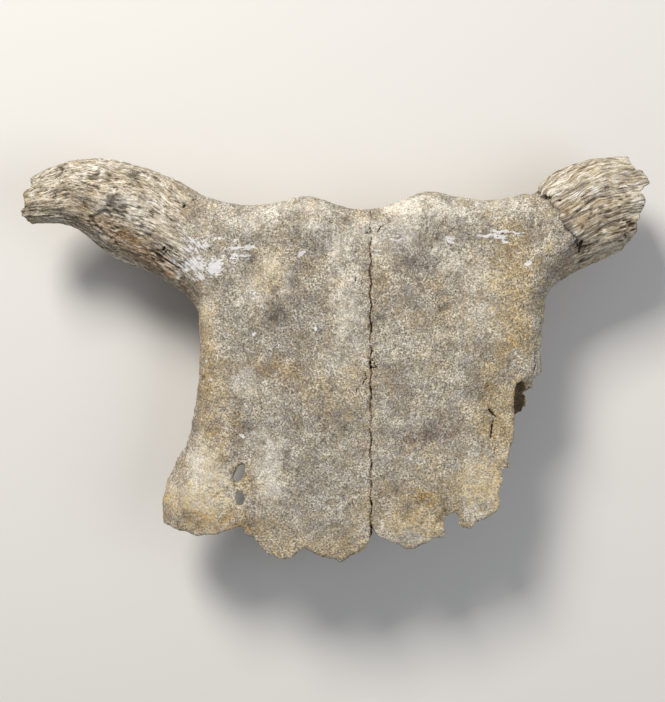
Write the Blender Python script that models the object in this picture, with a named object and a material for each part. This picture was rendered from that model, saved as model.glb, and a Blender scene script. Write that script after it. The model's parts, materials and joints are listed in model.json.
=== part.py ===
"""Fossil cow skull: the cap of the skull, with both frontal bones, the stumps of the horn
cores, and the walls of the braincase that are left under them.

The bone lies forehead up on the broken lower edge of its braincase. X runs across the
forehead, from the animal's right to its left. Y runs up the forehead to the poll. Z is up.
Lengths are in millimetres until the last step, which scales them to metres and puts the
origin at the middle of the underside of the bounding box.
"""

import math

import bmesh
import bpy
import numpy as np
from mathutils import Matrix, Vector

METRES_PER_MM = 0.001

# The forehead, seen from above: half its width at heights up the forehead, on each side.
RIGHT_HALF_WIDTH = [
    (-112, 100), (-88, 105.5), (-73, 107.3), (-62, 103.8), (-53, 98), (-44, 92), (-35, 89.3),
    (-21, 87.3), (-8, 85.7), (6, 85.2), (20, 85.4), (40, 85), (90, 85),
]
LEFT_HALF_WIDTH = [
    (-112, 86), (-40, 85.5), (-20, 85), (-8, 85), (8, 84.8), (20, 86.2), (40, 87.5), (90, 87.5),
]
# The poll is the ridge between the horns: its height up the forehead, across the skull.
POLL_EDGE = [
    (-100, 84.5), (-84, 80), (-70, 76.6), (-57, 75.7), (-44, 77.3), (-32, 80), (-22, 77.5),
    (-10, 74), (2, 73.6), (14, 77.2), (28, 82.3), (41, 80), (54, 78.1), (70, 79.5),
    (84, 84), (100, 90),
]
PLATE_THICKNESS = 4.6
EDGE_THICKNESS = 3.2
THINNING_START = -60.0  # from here to the front the plate thins to its edge
THINNING_LENGTH = 25.0
CREST_ROUND = 13.0  # how far the side of the forehead curves down at the waist
ORBIT_ROUND = 25.0  # the same over the eye socket
ORBIT_START = -40.0
ORBIT_FADE = 22.0
POLL_ROUND = 12.0
STEEPEST = 0.9  # the share of a quarter circle that a rounded side runs down

ACROSS_FALL = 2.4  # how far the forehead falls towards its sides
POLL_FALL = 1.6  # and towards the poll
# Low rises and hollows of the forehead: middle, spread both ways, and height.
SWELLS = [
    ((-31, 66), (15, 16), 2.6), ((28, 68), (15, 16), 3.0), ((-38, 26), (17, 30), -1.5),
    ((30, 24), (18, 22), -1.0), ((20, -38), (20, 13), -1.7), ((-22, -48), (22, 16), -1.0),
    ((-84, -60), (13, 18), 2.6), ((-50, -40), (12, 34), 1.2), ((-64.5, -58), (4.5, 24), -3.2),
    ((-64, -8), (6, 30), -1.1), ((60, -25), (4.5, 22), -1.6), ((45, -50), (12, 26), 0.9),
]

# The braincase below the forehead.
BRAINCASE_FRONT = -19.0
FLOOR_DEPTH = 57.0  # from the top of the forehead down to what the skull rests on
RIM_DEPTH = 51.5  # the broken rim, where it doesn't reach the floor
REST_SPOTS = [(-62, 0, 9), (60, 2, 9), (-36, 72, 10), (39, 72, 10)]  # x, y and reach
REST_DROP = 9.0  # how far the rim reaches down at these spots, until the floor trims it flat
# The rim is uneven by these waves: height, phase for each millimetre along x and y, and phase.
RIM_WAVES = [(1.5, 0.17, 0.23, 0), (1.1, 0.41, -0.19, 2)]
FRONT_ARCH = 16.0  # how far the rim rises in front, between the walls
FRONT_ARCH_HALF_WIDTH = 46.0
FRONT_ARCH_BACK = 8.0
FRONT_ARCH_FADE = 14.0
FRONT_STEP = 3.5  # over this length the plate's underside drops to the rim
# The side of the forehead turns down as a wall towards the eye socket and the temple.
WALL_THICKNESS = 8.5
WALL_FOOT_STEP = 20.0
RIGHT_WALL_FOOT = -30.0
LEFT_WALL_FOOT = -27.0
BRAIN_CENTRE = (0, 22, -62)
BRAIN_RADII = (49, 40, 40)
LEAN_START = 16.0  # the walls lean inwards below this depth
SIDE_LEAN = 0.25  # how much narrower the walls are at the floor
BACK_LEAN = 0.24  # how far the nuchal wall leans forward for each millimetre down
FOSSA_CENTRE = (103, 4, -54)
FOSSA_RADII = (42, 66, 39)

# Each horn core is lofted through these stations: x outwards from the middle, the y of its
# axis, half its width, the z of its axis and half its depth.
RIGHT_CORE = [
    (50, 44, 26, -22, 15), (66, 44, 31, -22, 18), (78, 44.5, 34.7, -22, 19.5),
    (84, 49, 32, -22, 20), (90, 56, 28.5, -22, 20.5), (96, 60.5, 27, -22, 21),
    (108, 67.4, 25.7, -22, 21), (128, 74.2, 23.8, -20, 19.5), (138, 78, 20.4, -18, 17),
    (148, 81.3, 16.7, -16, 13.5), (158, 80.9, 13.8, -14, 11), (168, 78.2, 11.4, -13, 9),
    (180, 74, 9.5, -12, 7.5),
]
LEFT_CORE = [
    (50, 44, 26, -22, 15), (66, 44, 31, -22, 18), (78, 45.5, 35, -22, 19.5),
    (84, 52, 31.8, -22, 20.5), (90, 61.2, 28.6, -22, 21.5), (98, 66.6, 27, -22, 22),
    (112, 73.2, 25.8, -21, 21.5), (124, 76.7, 23.4, -20, 20), (134, 78.4, 21.2, -19, 18.5),
    (146, 80.4, 19.2, -18, 17),
]
# Rounded ribs run along the horn cores, with narrow grooves between them.
RIB_COUNT = 9
RIB_HEIGHT = 2.3
RIB_START = 80.0  # how far out they begin
RIB_FADE = 16.0
RIB_TWIST = 0.012  # how far they turn round the core, in radians for each millimetre outwards
RIB_WANDER = 0.5
# Where each horn core is parted from its frontal bone, from the poll side to the eye side.
RIGHT_BURR = [
    (-86, 130), (-88, 74), (-94, 62), (-92, 48), (-96, 34), (-125, 15), (-125, -130),
]
LEFT_BURR = [
    (85, 130), (87, 80), (94, 73), (95, 66), (103, 59), (102, 49), (93, 42), (125, 15), (125, -130),
]
# The broken ends of the horn cores, from the poll side to the eye side.
RIGHT_TIP = [
    (-156, 120), (-168.4, 92), (-168.6, 86.2), (-167.4, 85), (-171.7, 81.3), (-172.2, 79.4),
    (-170.8, 76.4), (-171, 74), (-173.5, 72.5), (-172.7, 70), (-169.2, 67), (-162, 40),
]
LEFT_TIP = [
    (126, 120), (128.7, 95), (130.4, 92), (133.4, 91.8), (136.1, 88.7), (136.7, 85.3),
    (133.5, 83.5), (131.5, 80.9), (134.6, 77.6), (134.1, 73.5), (132.2, 70.8), (132, 68.2),
    (130.2, 66.9), (131.2, 62.5), (130.6, 60.1), (127, 55), (120, 30),
]

# The broken edge of the forehead, from the right eye socket round to the left temple.
BROKEN_EDGE = [
    (-125, -60), (-106.5, -77.5), (-103.5, -83.5), (-98, -86), (-92.5, -86.4), (-86, -88.5),
    (-79, -87.8), (-71.5, -86.2), (-63.8, -84), (-62.7, -87), (-60, -88.8), (-58.5, -88), (-55.4, -92),
    (-52.4, -96.5), (-47, -98.6), (-40.7, -99.5), (-37.2, -96.5), (-33.3, -93.6),
    (-28.9, -96), (-25, -98.6), (-17.6, -99), (-15.2, -101), (-10.3, -97.5), (-4.4, -94),
    (-1, -90), (0.6, -83.5), (3.4, -88.2), (8.3, -89.7), (11.8, -91.8), (16.7, -94.2),
    (21.6, -94), (26, -91.5), (29.4, -90), (36.2, -88.8), (36.8, -84.8), (35, -81.8),
    (35.8, -79), (40.7, -76.2), (43.8, -78.2), (43.4, -82.2), (48, -84.4), (51.4, -81),
    (54.5, -80.4), (58.3, -78), (61.7, -76.2), (63.4, -72.5), (62, -67.6), (64.8, -61.7),
    (63.6, -55.6), (68.4, -54.6), (67.2, -50.5), (69.6, -40.7), (71, -32.6), (76, -27.4),
    (77.5, -22.5), (76.2, -17.2), (79.8, -15.2), (81, -10.8), (84.8, -7.4),
]
# The break in the left temple: the outer layer of bone is gone outside this line.
TEMPLE_BREAK = [(69.8, -40), (70.8, -30), (70.2, -20.6), (71, -13.2), (74, -12), (79.5, -9.2),
                (85, -7)]
TEMPLE_WALL_TOP = -9.0  # the inner layer still stands to this height there
# Hollows in the broken places: centre, radii and fineness.
HOLLOWS = [
    ((73.0, -20.5, -10.5), (4.4, 9.5, 6), 3),  # in the left temple
    ((-172, 76, -13), (9, 4.5, 3.6), 2),  # in the tip of the right horn core
    ((136, 77, -19), (16, 12, 10), 3),  # in the end of the left horn core
]

# The suture between the frontal bones wanders a little from side to side.
SUTURE_WANDER = 0.8
SUTURE_STEP = 5.5
GAP = 0.34  # between neighbouring bones
LOWER_TOP = -23.0  # the frontal bones end here, above the parietal and occipital bones
LOWER_FRONT = -24.0
PEDICLE_INNER = 66.0
PEDICLE_FRONT = 24.0
LAMBDOID = 45.0  # where the parietal bones meet the occipital bone

# Supraorbital foramina: x, y, half width, half length and turn in degrees.
FORAMINA = [(-65.0, -57.4, 2.5, 5.0, -24), (-64.7, -70, 2.5, 4.0, 8)]
# Air cells that show in the break in front of the braincase: centre and radii.
AIR_CELLS = [
    ((-47, -17, -15), (9, 15, 6.5)), ((-25, -21, -14), (9, 17, 6)), ((-3, -20, -13), (8, 14, 5.5)),
    ((20, -21, -14), (10, 16, 6)), ((44, -18, -15), (10, 15, 6.5)), ((68, -16, -15), (9, 19, 8)),
    ((-34, -16, -28), (10, 9, 5)), ((33, -16, -28), (11, 9, 5)), ((-57, 22, -52), (5, 14, 15)),
    ((56, 24, -52), (5, 13, 15)), ((-8, 66, -55), (9, 4.5, 10)), ((16, 66, -55), (8, 4.5, 11)),
]
# The nuchal wall behind: the knob in its middle, and the hollows for the neck muscles.
NUCHAL_KNOB = ((0, 66.5, -36), (8.5, 7, 12))
NUCHAL_HOLLOWS = [((-31, 83.5, -37), (21, 14, 13)), ((31, 84, -37), (21, 14, 13))]
# Thin walls under the forehead: start, end, and how far each hangs at its start and end.
SEPTA = [
    ((1, -16), (1, -82), 12, 3), ((-25, -18), (-36, -88), 11, 3), ((-47, -14), (-62, -74), 11, 3),
    ((21, -18), (33, -74), 11, 3), ((44, -16), (58, -62), 10, 3), ((-36, -52), (1, -47), 5, 5),
    ((1, -62), (28, -56), 5, 4), ((-60, -50), (-34, -62), 5, 4), ((30, -52), (56, -44), 5, 5),
]
SEPTUM_THICKNESS = 2.6

GRID_STEP = 3.0
GRID_HALF_WIDTH = 114.0
GRID_FRONT = -108.0
GRID_BACK = 90.0
VOXEL = 1.5
TRIANGLES_IN_ALL = 12600

BONE_COLOUR = (0.40, 0.36, 0.28, 1)
CORE_COLOUR = (0.45, 0.38, 0.27, 1)
INNER_COLOUR = (0.33, 0.27, 0.19, 1)


def clear_scene():
    """Removes every object that the file opens with."""
    for obj in list(bpy.data.objects):
        bpy.data.objects.remove(obj)


def smooth_line(knots):
    """A function that runs smoothly through the knots, each a position and its values."""
    knots = np.array(knots, float)
    place, values = knots[:, 0], knots[:, 1:]
    slopes = np.gradient(values, place, axis=0)

    def read(at):
        at = np.clip(np.asarray(at, float), place[0], place[-1])
        i = np.clip(np.searchsorted(place, at, side="right") - 1, 0, len(place) - 2)
        span = (place[i + 1] - place[i])[..., None]
        t = (at - place[i])[..., None] / span
        return (
            (2 * t**3 - 3 * t**2 + 1) * values[i]
            + (t**3 - 2 * t**2 + t) * span * slopes[i]
            + (3 * t**2 - 2 * t**3) * values[i + 1]
            + (t**3 - t**2) * span * slopes[i + 1]
        ).squeeze(-1 if values.shape[1] == 1 else ())

    return read


right_half_width = smooth_line(RIGHT_HALF_WIDTH)
left_half_width = smooth_line(LEFT_HALF_WIDTH)
poll_edge = smooth_line(POLL_EDGE)


def eased(t):
    """0 below t = 0, 1 above t = 1, and smooth between."""
    t = np.clip(t, 0, 1)
    return t * t * (3 - 2 * t)


def swell(x, y, centre, spread, height):
    """A smooth rise, or a hollow where the height is negative."""
    return height * np.exp(-(((x - centre[0]) / spread[0]) ** 2 + ((y - centre[1]) / spread[1]) ** 2))


def turned_share(inside, radius):
    """How far round its edge curve a surface is, at a distance inside the edge."""
    return np.clip(1 - inside / radius, 0, STEEPEST)


def rounded_down(inside, radius):
    """How far a surface has curved down at a distance inside its edge."""
    return radius * (1 - np.sqrt(1 - turned_share(inside, radius) ** 2))


def half_width(x, y):
    """Half the width of the forehead, on the side that x is on."""
    return np.where(x < 0, right_half_width(y), left_half_width(y))


def side_round(x, y):
    """The radius by which the side of the forehead curves down."""
    over_orbit = eased((ORBIT_START - y) / ORBIT_FADE) * (x < 0)
    return CREST_ROUND + (ORBIT_ROUND - CREST_ROUND) * over_orbit


def forehead_top(x, y):
    """The height of the forehead's outer surface."""
    z = -ACROSS_FALL * (x / 80) ** 2 - POLL_FALL * (np.maximum(y, 0) / 70) ** 2
    for centre, spread, height in SWELLS:
        z = z + swell(x, y, centre, spread, height)
    z = z - rounded_down(half_width(x, y) - np.abs(x), side_round(x, y))
    return z - rounded_down(poll_edge(x) - y, POLL_ROUND)


def rim_height(x, y):
    """The height of the braincase's broken lower rim, which reaches the floor only in spots."""
    z = -RIM_DEPTH + 0.9 * np.sin(x * 0.09 + 1) * np.sin(y * 0.47)
    for height, along_x, along_y, phase in RIM_WAVES:
        z = z + height * np.sin(x * along_x + y * along_y + phase)
    for spot_x, spot_y, reach in REST_SPOTS:
        away = ((x - spot_x) ** 2 + (y - spot_y) ** 2) / reach**2
        z = z - REST_DROP * np.exp(-(away**2))
    arch = eased((FRONT_ARCH_BACK - y) / FRONT_ARCH_FADE)
    arch = arch * eased((FRONT_ARCH_HALF_WIDTH - np.abs(x)) / FRONT_ARCH_FADE)
    return z + (FRONT_ARCH + 2 * np.sin(x * 0.4)) * arch


def bone_underside(x, y):
    """The height of the underside: a thin plate in front, the braincase's rim behind."""
    thin = eased((THINNING_START - y) / THINNING_LENGTH)
    thickness = PLATE_THICKNESS + (EDGE_THICKNESS - PLATE_THICKNESS) * thin
    inside = half_width(x, y) - np.abs(x)
    # The plate stays as thick where it curves down, so it is deeper there.
    turned = turned_share(inside, side_round(x, y))
    plate = forehead_top(x, y) - thickness / np.sqrt(1 - turned**2)
    front = BRAINCASE_FRONT + 2.2 * np.sin(x * 0.21) + 1.4 * np.sin(x * 0.53 + 1)
    behind = eased((y - front) / FRONT_STEP)
    z = plate + (rim_height(x, y) - plate) * behind
    wall = eased((WALL_THICKNESS - inside) / FRONT_STEP) * eased((y + 66) / 34) * (1 - behind)
    wall = wall * np.where(x < 0, 1, eased((y + 37) / 6))
    right_foot = RIGHT_WALL_FOOT - WALL_FOOT_STEP * eased((y + 60) / 34)
    left_foot = LEFT_WALL_FOOT - WALL_FOOT_STEP * eased((y + 38) / 14)
    return z + (np.where(x < 0, right_foot, left_foot) - z) * wall


def new_object(name, mesh):
    """An object of this mesh, in the scene."""
    obj = bpy.data.objects.new(name, mesh)
    bpy.context.scene.collection.objects.link(obj)
    return obj


def mesh_object(name, points, faces):
    """An object from points and faces, with its faces turned outwards."""
    mesh = bpy.data.meshes.new(name)
    mesh.from_pydata([tuple(map(float, p)) for p in points], [], faces)
    made = bmesh.new()
    made.from_mesh(mesh)
    bmesh.ops.recalc_face_normals(made, faces=made.faces)
    made.to_mesh(mesh)
    made.free()
    return new_object(name, mesh)


def slab(name, xs, ys, top, underside):
    """A closed body between two surfaces over a grid."""
    grid_x, grid_y = np.meshgrid(xs, ys)
    columns, count = len(xs), grid_x.size
    points = np.concatenate([
        np.stack([grid_x, grid_y, surface(grid_x, grid_y)], axis=-1).reshape(-1, 3)
        for surface in (top, underside)
    ])
    faces = []
    for row in range(len(ys) - 1):
        for column in range(columns - 1):
            a = row * columns + column
            quad = [a, a + 1, a + 1 + columns, a + columns]
            faces.append(quad)
            faces.append([i + count for i in reversed(quad)])
    border = list(range(columns))
    border += [row * columns + columns - 1 for row in range(1, len(ys))]
    border += [count - 1 - column for column in range(1, columns)]
    border += [row * columns for row in range(len(ys) - 2, 0, -1)]
    for a, b in zip(border, border[1:] + border[:1]):
        faces.append([b, a, a + count, b + count])
    return mesh_object(name, points, faces)


def prism(name, outline, low, high):
    """An upright prism on an outline seen from above."""
    count = len(outline)
    points = [(x, y, z) for z in (low, high) for x, y in outline]
    faces = [list(range(count)), list(range(count, 2 * count))]
    faces += [[i, (i + 1) % count, (i + 1) % count + count, i + count] for i in range(count)]
    return mesh_object(name, points, faces)


def ellipsoid(name, centre, radii, detail=4):
    """A closed ellipsoid."""
    made = bmesh.new()
    matrix = Matrix.Translation(centre) @ Matrix.Diagonal((*radii, 1))
    bmesh.ops.create_icosphere(made, subdivisions=detail, radius=1, matrix=matrix)
    mesh = bpy.data.meshes.new(name)
    made.to_mesh(mesh)
    made.free()
    return new_object(name, mesh)


def rib(turn, x):
    """How far the ribs make a horn core stand out, at a turn round it and a distance outwards."""
    phase = RIB_COUNT * (turn + RIB_TWIST * x) / 2 + RIB_WANDER * math.sin(x / 11 + 2 * turn)
    share = float(eased((x - RIB_START) / RIB_FADE))
    return RIB_HEIGHT * share * (abs(math.sin(phase)) - 2 / math.pi)


def loft(name, stations, side, sides=56, rings=50):
    """A horn core: ribbed ellipses along a smooth axis, on the side that side gives, -1 or 1."""
    read = smooth_line(stations)
    points = []
    for x in np.linspace(stations[0][0], stations[-1][0], rings):
        y, half_wide, z, half_deep = read(x)
        for i in range(sides):
            turn = 2 * math.pi * i / sides
            proud = rib(turn, x)
            points.append((
                side * x,
                y + (half_wide + proud) * math.cos(turn),
                z + (half_deep + proud) * math.sin(turn),
            ))
    faces = [list(range(sides)), list(range(len(points) - sides, len(points)))]
    for ring in range(rings - 1):
        for i in range(sides):
            a, b = ring * sides + i, ring * sides + (i + 1) % sides
            faces.append([a, b, b + sides, a + sides])
    return mesh_object(name, points, faces)


def septum(name, start, end, hang_start, hang_end):
    """A thin wall that hangs from the underside of the forehead."""
    start, end = Vector(start), Vector(end)
    along = end - start
    side = Vector((-along.y, along.x)).normalized() * SEPTUM_THICKNESS / 2
    steps = max(3, int(along.length / 4))
    points = []
    for i in range(steps + 1):
        t = i / steps
        bow = side * 2.2 * math.sin(2 * math.pi * t)
        middle = start + along * t + bow
        hang = hang_start + (hang_end - hang_start) * t + 1.3 * math.sin(i * 1.7)
        top = float(forehead_top(middle.x, middle.y)) - 1.5
        foot = top - PLATE_THICKNESS - max(1.5, hang)
        for corner, z in ((side, top), (-side, top), (-side, foot), (side, foot)):
            points.append((middle.x + corner.x, middle.y + corner.y, z))
    faces = [[0, 1, 2, 3], [4 * steps + i for i in (3, 2, 1, 0)]]
    for ring in range(steps):
        for i in range(4):
            a, b = 4 * ring + i, 4 * ring + (i + 1) % 4
            faces.append([a, b, b + 4, a + 4])
    return mesh_object(name, points, faces)


def apply_modifiers(obj):
    """Bakes the object's modifiers into its mesh."""
    bpy.context.view_layer.update()
    graph = bpy.context.evaluated_depsgraph_get()
    mesh = bpy.data.meshes.new_from_object(obj.evaluated_get(graph))
    obj.modifiers.clear()
    obj.data = mesh


def boolean(obj, others, operation):
    """Joins the others to the object, cuts them from it or keeps what they share."""
    group = bpy.data.collections.new(operation)
    for other in others:
        group.objects.link(other)
    modifier = obj.modifiers.new(operation, "BOOLEAN")
    modifier.operation = operation
    modifier.operand_type = "COLLECTION"
    modifier.collection = group
    modifier.solver = "EXACT"
    modifier.use_self = False
    apply_modifiers(obj)
    bpy.data.collections.remove(group)
    for other in others:
        bpy.data.objects.remove(other)
    return obj


def joined(obj, others):
    return boolean(obj, others, "UNION")


def cut(obj, others):
    return boolean(obj, others, "DIFFERENCE")


def kept_inside(obj, other):
    return boolean(obj, [other], "INTERSECT")


def remeshed(obj, voxel, smoothing):
    """One skin of even faces over the object, with its creases eased."""
    remesh = obj.modifiers.new("remesh", "REMESH")
    remesh.mode = "VOXEL"
    remesh.voxel_size = voxel
    smooth = obj.modifiers.new("smooth", "SMOOTH")
    smooth.factor = 0.5
    smooth.iterations = smoothing
    apply_modifiers(obj)
    return obj


def thinned(obj, triangles):
    """The object with its faces merged where it is nearly flat."""
    obj.modifiers.new("triangles", "TRIANGULATE")
    apply_modifiers(obj)
    decimate = obj.modifiers.new("decimate", "DECIMATE")
    decimate.ratio = triangles / len(obj.data.polygons)
    apply_modifiers(obj)
    return obj


def lean_inwards(obj):
    """Leans the walls of the braincase inwards as they go down."""
    for vertex in obj.data.vertices:
        down = max(0.0, -vertex.co.z - LEAN_START)
        share = down / (FLOOR_DEPTH - LEAN_START)
        vertex.co.x *= 1 - SIDE_LEAN * share
        vertex.co.y -= BACK_LEAN * down * float(eased((vertex.co.y - 8) / 52))


def keep_largest(obj):
    """Drops loose scraps that a cut leaves."""
    made = bmesh.new()
    made.from_mesh(obj.data)
    made.verts.ensure_lookup_table()
    group_of, groups = {}, []
    for start in made.verts:
        if start in group_of:
            continue
        groups.append([])
        group_of[start] = len(groups)
        front = [start]
        while front:
            vertex = front.pop()
            groups[-1].append(vertex)
            for edge in vertex.link_edges:
                other = edge.other_vert(vertex)
                if other not in group_of:
                    group_of[other] = len(groups)
                    front.append(other)
    largest = max(groups, key=len)
    loose = [vertex for group in groups if group is not largest for vertex in group]
    bmesh.ops.delete(made, geom=loose, context="VERTS")
    made.to_mesh(obj.data)
    made.free()


def forehead_and_braincase():
    """The plate of the forehead with the block of the braincase, before any horn."""
    xs = np.arange(-GRID_HALF_WIDTH, GRID_HALF_WIDTH + GRID_STEP, GRID_STEP)
    ys = np.arange(GRID_FRONT, GRID_BACK + GRID_STEP, GRID_STEP)
    body = slab("skull", xs, ys, forehead_top, bone_underside)
    heights = np.arange(-106, 80, 4.0)
    right = [(-float(right_half_width(y)), y) for y in heights if y < poll_edge(-82)]
    left = [(float(left_half_width(y)), y) for y in heights if y < poll_edge(82)]
    poll = [(x, float(poll_edge(x))) for x in np.arange(78, -79, -3.0)]
    body = kept_inside(body, prism("outline", left + poll + right[::-1], -90, 30))
    remeshed(body, VOXEL, 2)
    lean_inwards(body)
    fossae = [
        ellipsoid("fossa", (side * FOSSA_CENTRE[0], *FOSSA_CENTRE[1:]), FOSSA_RADII)
        for side in (-1, 1)
    ]
    cells = [ellipsoid("cell", centre, radii, 3) for centre, radii in AIR_CELLS]
    muscles = [ellipsoid("muscle", *hollow) for hollow in NUCHAL_HOLLOWS]
    joined(body, [ellipsoid("knob", *NUCHAL_KNOB, 3)])
    return cut(body, [*fossae, ellipsoid("brain", BRAIN_CENTRE, BRAIN_RADII), *cells, *muscles])


def whole_skull():
    """The skull in one piece, with its horn cores and the thin walls under the forehead."""
    body = forehead_and_braincase()
    cores = [loft("right", RIGHT_CORE, -1), loft("left", LEFT_CORE, 1)]
    walls = [septum(f"septum_{i}", *line) for i, line in enumerate(SEPTA)]
    joined(body, cores + walls)
    remeshed(body, VOXEL, 5)
    return thinned(body, TRIANGLES_IN_ALL)


def broken_edges(body):
    """Trims the skull to its broken edges and opens its holes."""
    far = 200
    inside = BROKEN_EDGE + [(far, -7.4), (far, far), (-far, far), (-far, -60)]
    kept_inside(body, prism("broken_edge", inside, -120, 60))
    temple = TEMPLE_BREAK + [(100, -7), (100, -40)]
    holes = [
        prism("temple", temple, TEMPLE_WALL_TOP, 40),
        prism("right_tip", RIGHT_TIP + [(-far, 40), (-far, 120)], -90, 60),
        prism("left_tip", LEFT_TIP + [(far, 30), (far, 120)], -90, 60),
        *(ellipsoid("hollow", *hollow) for hollow in HOLLOWS),
        prism("floor", [(-far, -far), (far, -far), (far, far), (-far, far)], -150, -FLOOR_DEPTH),
    ]
    for x, y, half_wide, half_long, turn in FORAMINA:
        turned = Matrix.Rotation(math.radians(turn), 2)
        ring = [
            Vector((x, y)) + turned @ Vector((half_wide * math.cos(a), half_long * math.sin(a)))
            for a in (2 * math.pi * i / 10 for i in range(10))
        ]
        holes.append(prism("foramen", [tuple(p) for p in ring], -40, 20))
    return cut(body, holes)


def suture_line(offset):
    """The line between the frontal bones, moved sideways by the offset."""
    steps = np.arange(-140, 141, SUTURE_STEP)
    return [(SUTURE_WANDER * (-1) ** i * (0.6 + 0.4 * math.sin(3.1 * i)) + offset, float(y))
            for i, y in enumerate(steps)]


def lower_block(grow):
    """The space of the parietal and occipital bones, a little wider or narrower all round."""
    inner, front, wide = PEDICLE_INNER + grow, LOWER_FRONT - grow, 120
    shoulder = PEDICLE_FRONT + grow
    outline = [
        (-wide, front), (wide, front), (wide, shoulder), (inner, shoulder), (inner, wide),
        (-inner, wide), (-inner, shoulder), (-wide, shoulder),
    ]
    return prism("lower", outline, -120, LOWER_TOP + grow)


def half_space(line, far_x):
    """A tall prism on one side of a line that runs along Y."""
    return prism("side", [*line, (far_x, line[-1][1]), (far_x, line[0][1])], -120, 60)


def shifted(line, by):
    return [(x + by, y) for x, y in line]


def part(body, name, spaces, cutters=()):
    """One named bone: what the skull has inside every space and outside every cutter."""
    bone = new_object(name, body.data.copy())
    for space in spaces:
        kept_inside(bone, space)
    if cutters:
        cut(bone, list(cutters))
    keep_largest(bone)
    return bone


def bones(body):
    """Parts the whole skull into its bones, with a thin gap between neighbours."""
    far, half_gap = 220, GAP / 2
    made = {}
    for name, burr, sign in (("right", RIGHT_BURR, -1), ("left", LEFT_BURR, 1)):
        core = half_space(shifted(burr, sign * half_gap), sign * far)
        made[name + "_horn_core"] = part(body, name + "_horn_core", [core])
    for name, burr, sign in (("right", RIGHT_BURR, -1), ("left", LEFT_BURR, 1)):
        from_suture = half_space(suture_line(sign * half_gap), sign * far)
        to_burr = half_space(shifted(burr, -sign * half_gap), -sign * far)
        made[name + "_frontal"] = part(
            body, name + "_frontal", [from_suture, to_burr], [lower_block(half_gap)],
        )
    side = [(0, -130), (0, LAMBDOID - half_gap)]
    for name, sign in (("right_parietal", -1), ("left_parietal", 1)):
        space = half_space(shifted(side, sign * half_gap), sign * far)
        made[name] = part(body, name, [lower_block(-half_gap), space])
    back = prism("back", [(-far, LAMBDOID + half_gap), (far, LAMBDOID + half_gap), (far, far),
                          (-far, far)], -120, 60)
    made["occipital"] = part(body, "occipital", [lower_block(-half_gap), back])
    return made


def bone_material(name, colour, roughness):
    """Dry, matt bone."""
    material = bpy.data.materials.new(name)
    material.use_nodes = True
    shader = material.node_tree.nodes["Principled BSDF"]
    shader.inputs["Base Color"].default_value = colour
    shader.inputs["Roughness"].default_value = roughness
    shader.inputs["Metallic"].default_value = 0
    return material


def set_down(parts):
    """Scales the bones to metres and puts the origin under the middle of their box."""
    corners = np.array([v.co for bone in parts for v in bone.data.vertices])
    low, high = corners.min(axis=0), corners.max(axis=0)
    middle = Vector(((low[0] + high[0]) / 2, (low[1] + high[1]) / 2, low[2]))
    move = Matrix.Scale(METRES_PER_MM, 4) @ Matrix.Translation(-middle)
    for bone in parts:
        bone.data.transform(move)
        bone.data.shade_smooth()
        bone.data.set_sharp_from_angle(angle=math.radians(35))


def main():
    """Builds the skull."""
    clear_scene()
    body = broken_edges(whole_skull())
    made = bones(body)
    bpy.data.objects.remove(body)
    finishes = {
        "frontal": bone_material("weathered_bone", BONE_COLOUR, 0.8),
        "horn_core": bone_material("porous_horn_core", CORE_COLOUR, 0.85),
        "inner": bone_material("inner_bone", INNER_COLOUR, 0.85),
    }
    for name, bone in made.items():
        kind = next((k for k in finishes if name.endswith(k)), "inner")
        bone.data.materials.clear()
        bone.data.materials.append(finishes[kind])
    set_down(list(made.values()))


main()
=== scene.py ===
"""Dresses the fossil cow skull: weathered bone, grooved horn cores and a pale studio.

Positions on the skull are given in millimetres in the forehead's own frame, in which x runs
from the suture towards the animal's left and y runs from the middle of the forehead up to the
poll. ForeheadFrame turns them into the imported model's metres.
"""
import json
import logging
import math
from dataclasses import dataclass, field
from enum import Enum

import bpy
import numpy as np
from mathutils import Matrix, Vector
from mathutils.bvhtree import BVHTree

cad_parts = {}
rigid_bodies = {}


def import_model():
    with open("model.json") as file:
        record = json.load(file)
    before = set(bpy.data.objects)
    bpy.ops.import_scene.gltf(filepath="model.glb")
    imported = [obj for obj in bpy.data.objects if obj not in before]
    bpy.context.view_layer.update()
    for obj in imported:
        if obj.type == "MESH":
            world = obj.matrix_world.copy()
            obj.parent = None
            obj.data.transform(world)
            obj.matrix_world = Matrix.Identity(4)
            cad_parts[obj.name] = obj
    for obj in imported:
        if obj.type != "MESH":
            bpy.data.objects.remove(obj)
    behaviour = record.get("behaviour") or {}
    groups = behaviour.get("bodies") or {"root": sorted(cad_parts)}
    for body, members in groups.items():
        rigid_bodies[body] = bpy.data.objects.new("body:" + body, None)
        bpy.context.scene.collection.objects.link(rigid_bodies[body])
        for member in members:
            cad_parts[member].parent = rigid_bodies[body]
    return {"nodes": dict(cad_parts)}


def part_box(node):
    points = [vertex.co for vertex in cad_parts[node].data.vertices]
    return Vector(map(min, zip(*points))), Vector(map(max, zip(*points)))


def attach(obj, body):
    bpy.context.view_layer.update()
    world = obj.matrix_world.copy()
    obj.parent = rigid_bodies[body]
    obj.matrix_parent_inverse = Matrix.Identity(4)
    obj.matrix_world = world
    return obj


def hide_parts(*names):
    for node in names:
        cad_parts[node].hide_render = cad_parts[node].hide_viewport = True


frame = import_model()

MM = 0.001
log = logging.getLogger("skull")


class Slot(Enum):
    """The record's material slots."""

    WEATHERED = "weathered_bone"
    CORE = "horn_core_bone"
    INNER = "inner_bone"


def srgb(hex_colour: str) -> tuple[float, float, float, float]:
    """Turns an sRGB hex colour into linear red, green, blue and alpha.

    Args:
        hex_colour: six hex digits.

    Returns:
        The linear colour with an alpha of 1.
    """
    parts = [int(hex_colour[i:i + 2], 16) / 255 for i in (0, 2, 4)]
    linear = [c / 12.92 if c <= 0.04045 else ((c + 0.055) / 1.055) ** 2.4 for c in parts]
    return (*linear, 1.0)


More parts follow.
